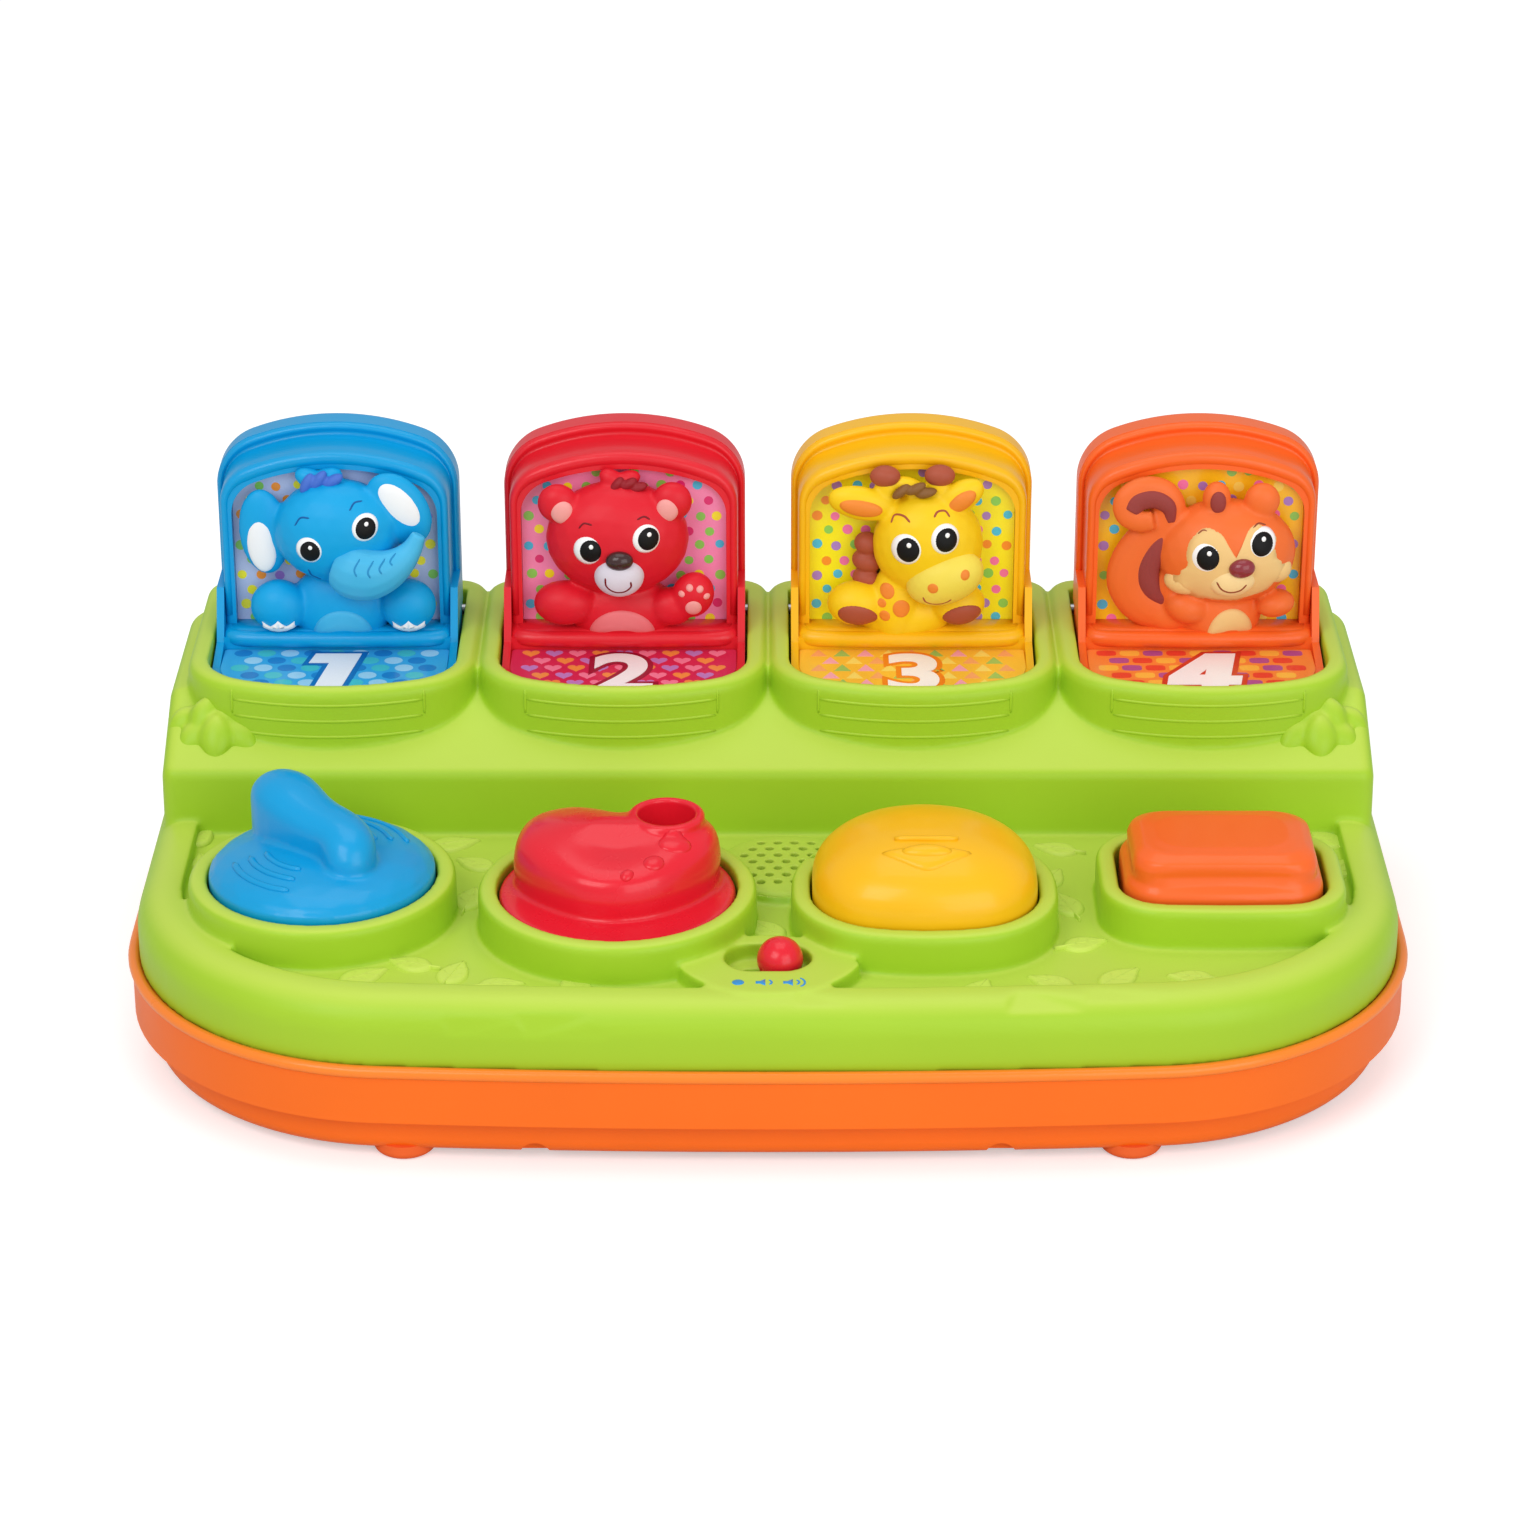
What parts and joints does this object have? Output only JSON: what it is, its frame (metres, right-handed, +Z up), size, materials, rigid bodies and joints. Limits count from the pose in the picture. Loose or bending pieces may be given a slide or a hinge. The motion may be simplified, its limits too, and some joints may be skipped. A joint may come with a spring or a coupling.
{
  "type": "pop up animal toy",
  "caption": "Baby activity toy on a low tray: a turn knob, finger dial, push button and rocker on the deck each release a spring lid that lifts an animal figure out of its cup.",
  "frame": {"origin": "under the middle of the toy, on the plane of its feet", "axes": "+X to the toy's right seen from the player, +Y away from the player, +Z up"},
  "size_m": [0.33, 0.197, 0.135],
  "materials": {
    "shell_green": "satin moulded plastic",
    "tray_orange": "satin moulded plastic",
    "foot_orange": "soft matte rubber",
    "steel": "plain zinc plated steel",
    "cell": "printed cell sleeve",
    "contact": "plated spring metal",
    "speaker_black": "matte",
    "board": "solder mask",
    "inner_white": "natural acetal",
    "red_gloss": "glossy",
    "blue_gloss": "satin gloss",
    "yellow_gloss": "satin gloss",
    "orange_gloss": "satin gloss",
    "blue_lid": "satin gloss",
    "red_lid": "satin gloss",
    "yellow_lid": "satin gloss",
    "orange_lid": "satin gloss",
    "card": "printed card with a clear film",
    "blue_figure": "painted vinyl",
    "red_figure": "painted vinyl",
    "yellow_figure": "painted vinyl",
    "orange_figure": "painted vinyl"
  },
  "bodies": {
    "housing": {"upper_shell": "shell_green", "base_tray": "tray_orange", "feet": "foot_orange", "battery_door": "tray_orange", "door_screw": "steel", "battery_cells": "cell", "battery_contacts": "contact", "housing_screws": "steel", "speaker_basket": "speaker_black", "speaker_magnet": "steel", "circuit_board": "board", "board_screws": "steel", "volume_switch": "speaker_black", "hinge_rods": "steel", "lid_springs": "steel", "rocker_pin": "steel", "latch_guides": "inner_white", "button_spring": "steel"},
    "knob": {"turn_knob": "blue_gloss", "knob_cam": "inner_white", "knob_screw": "steel"},
    "dial": {"finger_dial": "red_gloss", "dial_cam": "inner_white", "dial_screw": "steel"},
    "button": {"push_button": "yellow_gloss", "button_clip": "inner_white"},
    "rocker_body": {"rocker": "orange_gloss"},
    "volume": {"volume_slider": "red_gloss"},
    "elephant_lid": {"elephant_cover": "blue_lid", "elephant_frame": "blue_lid", "elephant_backdrop": "card", "elephant_number_label": "card", "elephant_figure": "blue_figure"},
    "elephant_slide": {"elephant_latch": "inner_white"},
    "bear_lid": {"bear_cover": "red_lid", "bear_frame": "red_lid", "bear_backdrop": "card", "bear_number_label": "card", "bear_figure": "red_figure"},
    "bear_slide": {"bear_latch": "inner_white"},
    "giraffe_lid": {"giraffe_cover": "yellow_lid", "giraffe_frame": "yellow_lid", "giraffe_backdrop": "card", "giraffe_number_label": "card", "giraffe_figure": "yellow_figure"},
    "giraffe_slide": {"giraffe_latch": "inner_white"},
    "squirrel_lid": {"squirrel_cover": "orange_lid", "squirrel_frame": "orange_lid", "squirrel_backdrop": "card", "squirrel_number_label": "card", "squirrel_figure": "orange_figure"},
    "squirrel_slide": {"squirrel_latch": "inner_white"}
  },
  "joints": [
    {"name": "elephant_lid_hinge", "type": "hinge", "parent": "housing", "child": "elephant_lid", "pos_m": [-0.1167, 0.0825, 0.076], "axis": [1, 0, 0], "range_deg": [0, 90], "stiffness_Nm_per_rad": 0.03, "springref_deg": -34.38},
    {"name": "bear_lid_hinge", "type": "hinge", "parent": "housing", "child": "bear_lid", "pos_m": [-0.0389, 0.0825, 0.076], "axis": [1, 0, 0], "range_deg": [0, 90], "stiffness_Nm_per_rad": 0.03, "springref_deg": -34.38},
    {"name": "giraffe_lid_hinge", "type": "hinge", "parent": "housing", "child": "giraffe_lid", "pos_m": [0.0389, 0.0825, 0.076], "axis": [1, 0, 0], "range_deg": [0, 90], "stiffness_Nm_per_rad": 0.03, "springref_deg": -34.38},
    {"name": "squirrel_lid_hinge", "type": "hinge", "parent": "housing", "child": "squirrel_lid", "pos_m": [0.1167, 0.0825, 0.076], "axis": [1, 0, 0], "range_deg": [0, 90], "stiffness_Nm_per_rad": 0.03, "springref_deg": -34.38},
    {"name": "knob_turn", "type": "hinge", "parent": "housing", "child": "knob", "pos_m": [-0.114, -0.035, 0.05], "axis": [0, 0, 1], "range_deg": [-60, 0], "stiffness_Nm_per_rad": 0.02, "springref_deg": 22.92},
    {"name": "dial_turn", "type": "hinge", "parent": "housing", "child": "dial", "pos_m": [-0.0383, -0.0422, 0.05], "axis": [0, 0, 1], "range_deg": [-90, 0], "stiffness_Nm_per_rad": 0.015, "springref_deg": 22.92},
    {"name": "button_press", "type": "slide", "parent": "housing", "child": "button", "axis": [0, 0, 1], "range_m": [-0.005, 0], "stiffness_N_per_m": 300, "springref_m": 0.003, "deforming": ["button_spring"]},
    {"name": "rocker_tilt", "type": "hinge", "parent": "housing", "child": "rocker_body", "pos_m": [0.1159, -0.0333, 0.0475], "axis": [0, 1, 0], "range_deg": [0, 8], "stiffness_Nm_per_rad": 0.3, "springref_deg": -5.73},
    {"name": "volume_slide", "type": "slide", "parent": "housing", "child": "volume", "axis": [1, 0, 0], "range_m": [-0.008, 0.0015]},
    {"name": "elephant_latch_slide", "type": "slide", "parent": "housing", "child": "elephant_slide", "axis": [0, 1, 0], "range_m": [-0.0041, 0]},
    {"name": "bear_latch_slide", "type": "slide", "parent": "housing", "child": "bear_slide", "axis": [0, 1, 0], "range_m": [-0.0041, 0]},
    {"name": "giraffe_latch_slide", "type": "slide", "parent": "housing", "child": "giraffe_slide", "axis": [0, 1, 0], "range_m": [-0.0041, 0]},
    {"name": "squirrel_latch_slide", "type": "slide", "parent": "housing", "child": "squirrel_slide", "axis": [0, 1, 0], "range_m": [-0.0041, 0]}
  ],
  "couplings": [
    {"joint": "elephant_latch_slide", "follows": "knob_turn", "m_per_rad": 0.00382},
    {"joint": "bear_latch_slide", "follows": "dial_turn", "m_per_rad": 0.002546},
    {"joint": "giraffe_latch_slide", "follows": "button_press", "ratio": 0.8},
    {"joint": "squirrel_latch_slide", "follows": "rocker_tilt", "m_per_rad": -0.028648}
  ]
}
